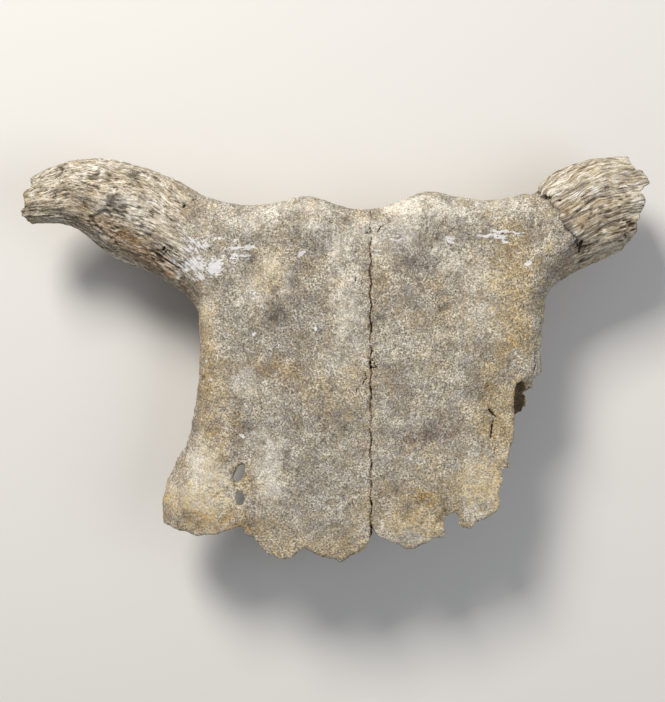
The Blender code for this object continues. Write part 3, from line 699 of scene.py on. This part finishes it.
@dataclass
class Bone:
    """One bone: a finer copy of its solid, weathered, and stained."""

    node: str
    slot: Slot
    finish: "BoneFinish"
    relief: Relief
    stains: Stains
    voxel: float = 0.72
    inner: float = 0.0  # 1 for a bone of the braincase
    reach: float = 0.6
    overlap: float = 1.0
    seam_overlap: float = 0.2
    smoothing: int = 3
    sutured_to: str = ""
    stepped_to: str = ""
    fan_centre: tuple[float, float] = (0.0, -75.0)

    def copy_of_solid(self) -> bpy.types.Object:
        """A copy of the node with its doubles merged.

        Returns:
            The new object.
        """
        source = bpy.data.objects[self.node]
        piece = bpy.data.objects.new(f"{self.node}_bone", source.data.copy())
        bpy.context.scene.collection.objects.link(piece)
        select_only(piece)
        bpy.ops.object.mode_set(mode="EDIT")
        bpy.ops.mesh.select_all(action="SELECT")
        bpy.ops.mesh.remove_doubles(threshold=0.002 * MM)
        bpy.ops.object.mode_set(mode="OBJECT")
        return piece

    def close_seams(self, piece: bpy.types.Object) -> None:
        """Moves the piece's seam faces into its neighbours, so that no thin gap shows.

        Args:
            piece: the copy of the solid.
        """
        for other in frame["nodes"]:
            if other == self.node:
                continue
            overlap = self.seam_overlap if other == self.sutured_to else self.overlap
            tree = tree_of(bpy.data.objects[other])
            for vertex in piece.data.vertices:
                near, _, _, gap = tree.find_nearest(vertex.co, self.reach * MM)
                if near is not None and gap > 1e-7:
                    vertex.co += (near - vertex.co).normalized() * (gap * 0.5 + overlap * MM)

    def refine(self, piece: bpy.types.Object) -> None:
        """Gives the piece small even faces, with its edges eased.

        Args:
            piece: the copy of the solid.
        """
        select_only(piece)
        remesh = piece.modifiers.new("even faces", "REMESH")
        remesh.mode = "VOXEL"
        remesh.voxel_size = self.voxel * MM
        smooth = piece.modifiers.new("eased edges", "SMOOTH")
        smooth.factor = 0.5
        smooth.iterations = self.smoothing
        for modifier in (remesh.name, smooth.name):
            bpy.ops.object.modifier_apply(modifier=modifier)
        self.drop_scraps(piece)

    def drop_scraps(self, piece: bpy.types.Object) -> None:
        """Deletes the tiny sealed bubbles that even faces can leave inside the bone.

        Args:
            piece: the finely faced piece.
        """
        bpy.ops.object.mode_set(mode="EDIT")
        bpy.ops.mesh.select_mode(type="VERT")
        bpy.ops.mesh.select_all(action="DESELECT")
        bpy.ops.object.mode_set(mode="OBJECT")
        # The highest point is on the outer surface, and all that hangs together with it stays.
        highest = int(read_points(piece.data, "co")[:, 2].argmax())
        piece.data.vertices[highest].select = True
        bpy.ops.object.mode_set(mode="EDIT")
        bpy.ops.mesh.select_linked()
        bpy.ops.mesh.select_all(action="INVERT")
        bpy.ops.mesh.delete(type="VERT")
        bpy.ops.object.mode_set(mode="OBJECT")

    def step(self, co: np.ndarray, points: np.ndarray) -> np.ndarray:
        """How near each point is to the horn core that stands proud of this bone.

        Args:
            co: positions in the model.
            points: the same positions on the forehead.

        Returns:
            Shares from 0 to 1.
        """
        share = np.zeros(len(co))
        if self.stepped_to:
            tree = tree_of(bpy.data.objects[self.stepped_to])
            near = np.flatnonzero(points[:, 0] > 70)
            gaps = [tree.find_nearest(Vector(co[i]), 9 * MM)[3] for i in near]
            away = np.array([9.0 if gap is None else gap / MM for gap in gaps])
            ragged = self.relief.noise.layered(points[near], 3.0, 2, 81)
            share[near] = eased(4.2, 1.2, away + 1.6 * ragged) * eased(50, 60, points[near, 1])
        return share

    def flows(self, points: np.ndarray) -> dict[str, np.ndarray]:
        """Positions that run along the bone's fibres, for streaks in its finish.

        Args:
            points: positions on the forehead.

        Returns:
            Positions that fan out over the forehead, and positions along the horn core.
        """
        across, up = points[:, 0] - self.fan_centre[0], points[:, 1] - self.fan_centre[1]
        fan = np.stack([0.4 * np.hypot(across, up), 75 * np.arctan2(across, up), points[:, 2]], axis=1)
        left = points[:, 0] > 0
        _, tube = RIGHT_AXIS.around(points)
        tube[left] = LEFT_AXIS.around(points[left])[1]
        tube = self.relief.wavy(tube, RIGHT_AXIS.wander)
        tube[:, 0] *= np.where(left, 0.11, 0.2)
        return {"fan": fan, "tube": tube}

    def weather(self, piece: bpy.types.Object, place: ForeheadFrame) -> None:
        """Roughens the piece's surface and keeps its stains and its hollows as attributes.

        Args:
            piece: the finely faced piece.
            place: turns metres into millimetres on the forehead.
        """
        mesh = piece.data
        co, normals = read_points(mesh, "co"), read_points(mesh, "normal")
        points = place.from_model(co)
        on_core = self.slot is Slot.CORE
        ends = on_core * np.maximum(RIGHT_AXIS.end(points, normals), LEFT_AXIS.end(points, normals))
        shares = {
            axis: axis.share(axis.around(points)[0], points, on_core) * (1 - ends)
            for axis in (RIGHT_AXIS, LEFT_AXIS)
        }
        core = np.maximum(*shares.values())
        heights = self.relief.heights(points, normals, self.inner, shares, ends)
        depth, slot = self.relief.scarred(points)
        opened, seam = np.zeros(len(co)), np.full(len(co), 9.0)
        if self.sutured_to:
            opened, seam = self.relief.opened(points), self.relief.seam.gap(points)
        # The step sinks the bone beside the left horn core's proud edge and also paints shadow there.
        step = self.step(co, points)
        proud = np.zeros(len(co))
        if on_core:
            ragged = 0.8 + 0.5 * self.relief.noise.layered(points, 5.0, 3, 91)
            for axis, share in shares.items():
                out = points[:, 0] * axis.side
                near = eased(axis.burr_x + 34, axis.burr_x + 4, out) * eased(50, 62, points[:, 1])
                proud += axis.proud * near * share * ragged
        moved = heights - depth - 0.9 * step + proud
        raised = co + normals * (moved[:, None] * MM)
        raised[:, 2] -= opened * MM
        raised[:, 2] = np.maximum(raised[:, 2], 0.0)
        mesh.vertices.foreach_set("co", raised.ravel())
        mesh.update()
        layers = self.stains.layers(points, core)
        # Hollow: painted dark brown in the low spots, partly soil and partly painted shade, plus painted shadow from
        # the step.
        layers["hollow"] = np.clip(-(heights + 0.1 - 0.25 * core) / 0.9 + 1.1 * step, 0, 1)
        layers["ridge"] = np.clip((heights - 0.05) / 0.7, 0, 1)
        layers["core"] = core
        below = eased(-0.1, -0.6, normals[:, 2]) * eased(-10, -24, points[:, 2])
        lower = 0.35 * eased(-14, -40, points[:, 2]) * (1 - core)
        layers["broken"] = np.maximum(np.maximum(below, lower), 0.6 * ends)
        layers["seam"] = seam
        layers["slot"] = np.clip(slot, 0, 9)
        for name, values in layers.items():
            attribute = mesh.attributes.new(name, "FLOAT", "POINT")
            attribute.data.foreach_set("value", values.astype(np.float32))
        for name, values in self.flows(points).items():
            attribute = mesh.attributes.new(name, "FLOAT_VECTOR", "POINT")
            attribute.data.foreach_set("vector", (values * MM).astype(np.float32).ravel())

    def build(self, place: ForeheadFrame) -> bpy.types.Object:
        """Makes the bone's visible piece and puts it in its node's place.

        Args:
            place: turns metres into millimetres on the forehead.

        Returns:
            The finished piece.
        """
        piece = self.copy_of_solid()
        self.close_seams(piece)
        self.refine(piece)
        self.weather(piece, place)
        piece.data.shade_smooth()
        piece.data.materials.clear()
        piece.data.materials.append(self.finish.material())
        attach(piece, "root")
        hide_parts(self.node)
        log.info("%s: %d faces", piece.name, len(piece.data.polygons))
        return piece


def read_points(mesh: bpy.types.Mesh, name: str) -> np.ndarray:
    """Reads the vertices' places or normals, three numbers to a row."""
    values = np.empty(len(mesh.vertices) * 3)
    mesh.vertices.foreach_get(name, values)
    return values.reshape(-1, 3)


def select_only(piece: bpy.types.Object) -> None:
    """Makes the piece the only selected object and the active one."""
    bpy.ops.object.select_all(action="DESELECT")
    piece.select_set(True)
    bpy.context.view_layer.objects.active = piece


def tree_of(thing: bpy.types.Object) -> BVHTree:
    """A search tree over an object's faces."""
    mesh = thing.data
    return BVHTree.FromPolygons([v.co for v in mesh.vertices], [tuple(p.vertices) for p in mesh.polygons])


def node(tree: bpy.types.NodeTree, kind: str, links: dict | None = None, **settings) -> bpy.types.Node:
    """Adds a shader node.

    Args:
        tree: the material's node tree.
        kind: the node's type.
        links: input names or numbers, each with a value or with the socket to link from.
        settings: the node's own properties.

    Returns:
        The new node.
    """
    made = tree.nodes.new(kind)
    for key, value in settings.items():
        setattr(made, key, value)
    for key, value in (links or {}).items():
        socket = made.inputs[key]
        if isinstance(value, bpy.types.NodeSocket):
            tree.links.new(value, socket)
        else:
            socket.default_value = value
    return made


@dataclass(frozen=True)
class BoneFinish:
    """Weathered, partly mineralised bone: matt, speckled, stained by the ground it lay in, with painted shade in its
    hollows.
    """

    name: str
    light: str = "EFE9DB"
    middle: str = "A39B8B"
    dark: str = "7F766A"
    speck: str = "51473A"
    cool: str = "8B8B8F"
    warm: str = "AF9A72"
    grey: str = "BCBAC2"
    ochre: str = "F2DCB4"
    tan: str = "F7EACC"
    # The soil colour is partly painted shade.
    soil_and_shade: str = "BFA488"
    pale: str = "E2DED6"
    crack: str = "6A533A"
    chalk: str = "DFDEDE"
    pit: str = "392F24"
    broken: str = "93795A"
    grain_mm: float = 0.8
    fleck_mm: float = 2.6
    cloud_mm: float = 11.0
    streak_mm: float = 0.75
    crease_mm: float = 3.0
    streaks: float = 0.25
    contrast: float = 1.05
    roughness: float = 0.86
    bump_mm: float = 0.42
    _made: dict = field(default_factory=dict, repr=False, compare=False)

    def mix(self, tree: bpy.types.NodeTree, factor, below, above, how: str = "MIX") -> bpy.types.NodeSocket:
        """Mixes two colours.

        Args:
            tree: the material's node tree.
            factor: how much of the second colour, as a number or socket.
            below: the first colour, as hex digits or a socket.
            above: the second colour, the same way.
            how: the way that they mix.

        Returns:
            The mixed colour's socket.
        """
        made = node(tree, "ShaderNodeMix", data_type="RGBA", clamp_factor=True, blend_type=how)
        for key, value in ((0, factor), (6, below), (7, above)):
            if isinstance(value, bpy.types.NodeSocket):
                tree.links.new(value, made.inputs[key])
            else:
                made.inputs[key].default_value = srgb(value) if isinstance(value, str) else value
        return made.outputs[2]

    def blend(self, tree: bpy.types.NodeTree, factor, below, above) -> bpy.types.NodeSocket:
        """Mixes two numbers.

        Args:
            tree: the material's node tree.
            factor: how much of the second number.
            below: the first number.
            above: the second number.

        Returns:
            The mixed number's socket.
        """
        return node(tree, "ShaderNodeMix", {0: factor, 2: below, 3: above}, data_type="FLOAT").outputs[0]

    def sums(self, tree: bpy.types.NodeTree, operation: str, first, second) -> bpy.types.NodeSocket:
        """Adds, multiplies or otherwise joins two numbers.

        Args:
            tree: the material's node tree.
            operation: what to do with them.
            first: the first number.
            second: the second number.

        Returns:
            The result's socket.
        """
        return node(tree, "ShaderNodeMath", {0: first, 1: second}, operation=operation).outputs[0]

    def ramp(self, tree: bpy.types.NodeTree, value, low: float, high: float, to_low: float = 0.0,
             to_high: float = 1.0) -> bpy.types.NodeSocket:
        """Stretches a value from one range to another, smoothly.

        Args:
            tree: the material's node tree.
            value: the socket to stretch.
            low: the range's low end.
            high: the range's high end.
            to_low: what the low end becomes.
            to_high: what the high end becomes.

        Returns:
            The stretched value's socket.
        """
        return node(tree, "ShaderNodeMapRange", {0: value, 1: low, 2: high, 3: to_low, 4: to_high},
                    interpolation_type="SMOOTHSTEP").outputs[0]

    def noise(self, tree: bpy.types.NodeTree, place, size_mm: float, detail: float,
              rough: float = 0.55) -> bpy.types.NodeSocket:
        """Noise with lumps of the given size.

        Args:
            tree: the material's node tree.
            place: the position to read.
            size_mm: the size of a lump.
            detail: how many finer layers it has.
            rough: how strong the finer layers are.

        Returns:
            The noise's socket.
        """
        settings = {"Vector": place, "Scale": 1 / (size_mm * MM), "Detail": detail, "Roughness": rough}
        return node(tree, "ShaderNodeTexNoise", settings).outputs["Fac"]

    def attribute(self, tree: bpy.types.NodeTree, name: str, output: str = "Fac") -> bpy.types.NodeSocket:
        """Reads one of the mesh's own numbers or positions."""
        return node(tree, "ShaderNodeAttribute", attribute_name=name).outputs[output]

    def grit(self, tree: bpy.types.NodeTree, place) -> bpy.types.NodeSocket:
        """Grains about a millimetre across that run into short streaks along the bone's fibres.

        Args:
            tree: the material's node tree.
            place: the position to read.

        Returns:
            The grit's socket, from about 0.2 to 0.8.
        """
        grain = self.noise(tree, place, self.grain_mm, 2.0, 0.7)
        fan = self.noise(tree, self.attribute(tree, "fan", "Vector"), self.streak_mm, 2.0, 0.65)
        tube = self.noise(tree, self.attribute(tree, "tube", "Vector"), self.streak_mm, 2.0, 0.75)
        core = self.attribute(tree, "core")
        plate = self.blend(tree, self.streaks, grain, fan)
        horn = self.blend(tree, 0.72, grain, tube)
        return self.blend(tree, core, plate, horn)

    def tone(self, tree: bpy.types.NodeTree, grit, flecks, clouds) -> bpy.types.NodeSocket:
        """How light the bone is: grains, flecks and clouds, lighter where it is pale or proud.

        Args:
            tree: the material's node tree.
            grit: the bone's fine grains.
            flecks: noise a few millimetres wide.
            clouds: noise a centimetre wide.

        Returns:
            The tone's socket, around 0.5.
        """
        centred = self.sums(tree, "SUBTRACT", grit, 0.5)
        strength = self.ramp(tree, clouds, 0.35, 0.65, self.contrast, 1.5 * self.contrast)
        total = self.sums(tree, "MULTIPLY", centred, strength)
        parts = (
            (self.sums(tree, "SUBTRACT", flecks, 0.5), 0.34),
            (self.sums(tree, "SUBTRACT", clouds, 0.5), 0.35),
            (self.attribute(tree, "pale"), 0.15),
            (self.attribute(tree, "tan"), 0.03),
            (self.attribute(tree, "ridge"), 0.08),
            (self.attribute(tree, "core"), 0.03),
        )
        for value, weight in parts:
            total = self.sums(tree, "ADD", total, self.sums(tree, "MULTIPLY", value, weight))
        return self.sums(tree, "ADD", total, 0.5)

    def palette(self, tree: bpy.types.NodeTree, tone) -> bpy.types.NodeSocket:
        """Turns a tone into the bone's colours, from its dark pores to its pale crystals.

        Args:
            tree: the material's node tree.
            tone: how light the bone is.

        Returns:
            The colour's socket.
        """
        made = node(tree, "ShaderNodeValToRGB", {"Fac": tone})
        stops = ((0.26, self.speck), (0.4, self.dark), (0.52, self.middle), (0.74, self.light))
        elements = made.color_ramp.elements
        while len(elements) < len(stops):
            elements.new(0.5)
        for element, (place, colour) in zip(elements, stops):
            element.position = place
            element.color = srgb(colour)
        return made.outputs["Color"]

    def openings(self, tree: bpy.types.NodeTree, ragged) -> bpy.types.NodeSocket:
        """How dark the suture's open crack and the small slots are.

        Args:
            tree: the material's node tree.
            ragged: noise that breaks up their edges.

        Returns:
            The darkness's socket, from 0 to 1.
        """
        uneven = self.ramp(tree, ragged, 0.25, 0.75, -0.45, 0.45)
        crack = self.ramp(tree, self.sums(tree, "ADD", self.attribute(tree, "seam"), uneven), 0.15, -0.2)
        slot = self.ramp(tree, self.sums(tree, "ADD", self.attribute(tree, "slot"), uneven), 1.25, 0.75)
        # Hair cracks run along the horn cores where this noise crosses its middle.
        tube = self.noise(tree, self.attribute(tree, "tube", "Vector"), self.crease_mm, 2.0, 0.6)
        away = self.sums(tree, "ABSOLUTE", self.sums(tree, "SUBTRACT", tube, 0.5), 0.0)
        crease = self.sums(tree, "MULTIPLY", self.ramp(tree, away, 0.03, 0.008, 0.0, 0.85), self.attribute(tree, "core"))
        crease = self.sums(tree, "MULTIPLY", crease, self.ramp(tree, ragged, 0.4, 0.55, 1.0, 0.2))
        return self.sums(tree, "MAXIMUM", crease, self.sums(tree, "MAXIMUM", crack, slot))

    def colour(self, tree: bpy.types.NodeTree, place, grit) -> bpy.types.NodeSocket:
        """The bone's colour: clouds, speckle, stains, painted shade in pits and hollows, and worn ridges.

        Args:
            tree: the material's node tree.
            place: the position to read.
            grit: the bone's fine grains.

        Returns:
            The colour's socket.
        """
        # On the horn cores the flecks run along the bone's fibres.
        tube = self.attribute(tree, "tube", "Vector")
        long_flecks = self.noise(tree, tube, 0.8 * self.fleck_mm, 3.0, 0.7)
        flecks = self.noise(tree, place, self.fleck_mm, 3.0, 0.7)
        flecks = self.blend(tree, self.attribute(tree, "core"), flecks, long_flecks)
        clouds = self.noise(tree, place, self.cloud_mm, 5.0, 0.62)
        # Pale crystals and dark pores about a millimetre across give the salt-and-pepper look.
        base = self.palette(tree, self.tone(tree, grit, flecks, clouds))
        base = self.mix(tree, self.attribute(tree, "broken"), base, self.broken)
        # Patches a few millimetres wide lean towards blue grey or towards ochre.
        tint = self.noise(tree, place, 1.9 * self.fleck_mm, 4.0, 0.75)
        base = self.mix(tree, self.ramp(tree, tint, 0.5, 0.68, 0.0, 0.4), base, self.warm)
        base = self.mix(tree, self.ramp(tree, tint, 0.5, 0.32, 0.0, 0.35), base, self.cool)
        broken_up = self.ramp(tree, flecks, 0.34, 0.6, 0.3, 1.0)
        base = self.mix(tree, self.sums(tree, "MULTIPLY", self.attribute(tree, "pale"), 0.3), base, self.pale)
        # Stains have soaked in, so the grains still show through them; the soil layer is partly painted shade.
        for name, colour in (("tan", self.tan), ("ochre", self.ochre), ("grey", self.grey), ("soil_and_shade", self.soil_and_shade)):
            patchy = self.sums(tree, "MULTIPLY", self.attribute(tree, name), broken_up)
            base = self.mix(tree, patchy, base, colour, "MULTIPLY")
        # Chalky scrapes are broken up by the grains and fibres under them.
        fibre = self.noise(tree, tube, self.streak_mm, 2.0, 0.6)
        under = self.blend(tree, 0.6, grit, fibre)
        worn = self.sums(tree, "ADD", self.attribute(tree, "chalk"), self.ramp(tree, under, 0.3, 0.7, -0.45, 0.45))
        base = self.mix(tree, self.ramp(tree, worn, 0.28, 0.62, 0.0, 0.95), base, self.chalk)
        # The hollows are painted dark brown, partly soil in the pits and grooves and partly painted shade, with
        # painted shadow beside the left horn core's proud edge.
        base = self.mix(tree, self.ramp(tree, self.attribute(tree, "hollow"), 0.15, 1.0, 0.0, 0.85), base, self.pit)
        soiled = self.sums(tree, "ADD", self.attribute(tree, "seam"), self.ramp(tree, grit, 0.25, 0.75, -0.5, 0.5))
        base = self.mix(tree, self.ramp(tree, soiled, 0.7, 0.15, 0.0, 0.75), base, self.crack)
        return self.mix(tree, self.openings(tree, grit), base, self.pit)

    def material(self) -> bpy.types.Material:
        """The material, made the first time that it is asked for.

        Returns:
            The material.
        """
        if "material" in self._made:
            return self._made["material"]
        material = bpy.data.materials.new(self.name)
        material.use_nodes = True
        tree = material.node_tree
        shader = tree.nodes["Principled BSDF"]
        place = node(tree, "ShaderNodeTexCoord").outputs["Object"]
        grit = self.grit(tree, place)
        tree.links.new(self.colour(tree, place, grit), shader.inputs["Base Color"])
        rough = self.ramp(tree, grit, 0.3, 0.7, self.roughness + 0.1, self.roughness - 0.1)
        tree.links.new(rough, shader.inputs["Roughness"])
        shader.inputs["Specular IOR Level"].default_value = 0.25
        bump = node(tree, "ShaderNodeBump", {"Strength": 1.0, "Distance": self.bump_mm * MM, "Height": grit})
        tree.links.new(bump.outputs["Normal"], shader.inputs["Normal"])
        self._made["material"] = material
        return material


@dataclass(frozen=True)
class Studio:
    """A pale floor, soft light and the photograph's camera."""

    place: ForeheadFrame
    camera_height: float = 0.8
    frame_mm: float = 0.49 * 702
    aim: tuple[float, float] = (-18.9, 2.9)
    floor_colour: str = "DEDCD8"
    floor_size: float = 6.0
    sensor: float = 24.0

    def floor(self) -> None:
        """Lays the pale floor that the skull rests on."""
        bpy.ops.object.select_all(action="DESELECT")
        bpy.ops.mesh.primitive_plane_add(size=self.floor_size, location=(0, 0, 0))
        floor = bpy.context.active_object
        floor.name = "studio_floor"
        material = bpy.data.materials.new("matt_paper")
        material.use_nodes = True
        shader = material.node_tree.nodes["Principled BSDF"]
        shader.inputs["Base Color"].default_value = srgb(self.floor_colour)
        shader.inputs["Roughness"].default_value = 0.9
        floor.data.materials.append(material)

    def light(self, name: str, place: tuple[float, float, float], size: float, power: float, colour: str) -> None:
        """Hangs one soft square light that points at the skull.

        Args:
            name: the light's name.
            place: where it hangs, in metres.
            size: the length of its side.
            power: its power in watts.
            colour: its colour.
        """
        data = bpy.data.lights.new(name, "AREA")
        data.shape = "SQUARE"
        data.size = size
        data.energy = power
        data.color = srgb(colour)[:3]
        lamp = bpy.data.objects.new(name, data)
        bpy.context.scene.collection.objects.link(lamp)
        lamp.location = place
        lamp.rotation_euler = (Vector(place) - Vector((0, 0, 0.03))).to_track_quat("Z", "Y").to_euler()

    def camera(self) -> None:
        """Looks straight down at the forehead, with the poll at the top of the picture."""
        data = bpy.data.cameras.new("camera")
        data.sensor_fit = "VERTICAL"
        data.sensor_height = self.sensor
        data.lens = self.sensor * self.camera_height / (self.frame_mm * MM)
        camera = bpy.data.objects.new("camera", data)
        bpy.context.scene.collection.objects.link(camera)
        aim = self.place.to_model(*self.aim, 0.0)
        camera.location = aim + Vector((0, 0, self.camera_height))
        bpy.context.scene.camera = camera

    def build(self) -> None:
        """Sets up the floor, the lights, the surroundings and the camera."""
        self.floor()
        self.light("key", (-0.5, 0.95, 1.05), 0.5, 23.0, "FFFAF2")
        self.light("fill", (0.9, -0.1, 1.1), 0.9, 5.0, "F2F6FF")
        world = bpy.data.worlds.new("studio")
        bpy.context.scene.world = world
        world.use_nodes = True
        background = world.node_tree.nodes["Background"]
        background.inputs["Color"].default_value = srgb("EEF1F6")
        background.inputs["Strength"].default_value = 0.27
        bpy.context.scene.view_settings.view_transform = "Standard"
        self.camera()
        log.info("studio: floor, two lights and camera")


@dataclass
class Skull:
    """The whole skull: its bones and their finishes."""

    place: ForeheadFrame
    plate: BoneFinish = field(default_factory=lambda: BoneFinish("weathered_fossil_bone"))
    core: BoneFinish = field(default_factory=lambda: BoneFinish(
        "porous_horn_core_bone", cloud_mm=16.0, middle="ACA08B", contrast=1.08))
    inner: BoneFinish = field(default_factory=lambda: BoneFinish(
        "broken_inner_bone", light="E2DAC8", roughness=0.88))

    def bones(self) -> list[Bone]:
        """The bones, in the order that they are built."""
        relief = Relief(Noise(11), Seam.of_frontals(self.place))
        shared = {"relief": relief, "stains": Stains(Noise(29))}
        plate = {"slot": Slot.WEATHERED, "finish": self.plate, "voxel": 0.78, "smoothing": 2, **shared}
        horn = {"slot": Slot.CORE, "finish": self.core, "voxel": 0.5, **shared}
        inner = {"slot": Slot.INNER, "finish": self.inner, "inner": 1.0, **shared}
        return [
            Bone("right_frontal", sutured_to="left_frontal", **plate),
            Bone("left_frontal", sutured_to="right_frontal", stepped_to="left_horn_core", **plate),
            Bone("right_horn_core", **horn),
            Bone("left_horn_core", **horn),
            Bone("right_parietal", **inner),
            Bone("left_parietal", **inner),
            Bone("occipital", **inner),
        ]

    def build(self) -> None:
        """Builds every bone."""
        for bone in self.bones():
            bone.build(self.place)


def main() -> None:
    """Builds the skull and the studio."""
    logging.basicConfig(level=logging.INFO, format="%(name)s: %(message)s")
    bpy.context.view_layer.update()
    place = ForeheadFrame.of_skull()
    Skull(place).build()
    Studio(place).build()


if __name__ == "__main__":
    main()
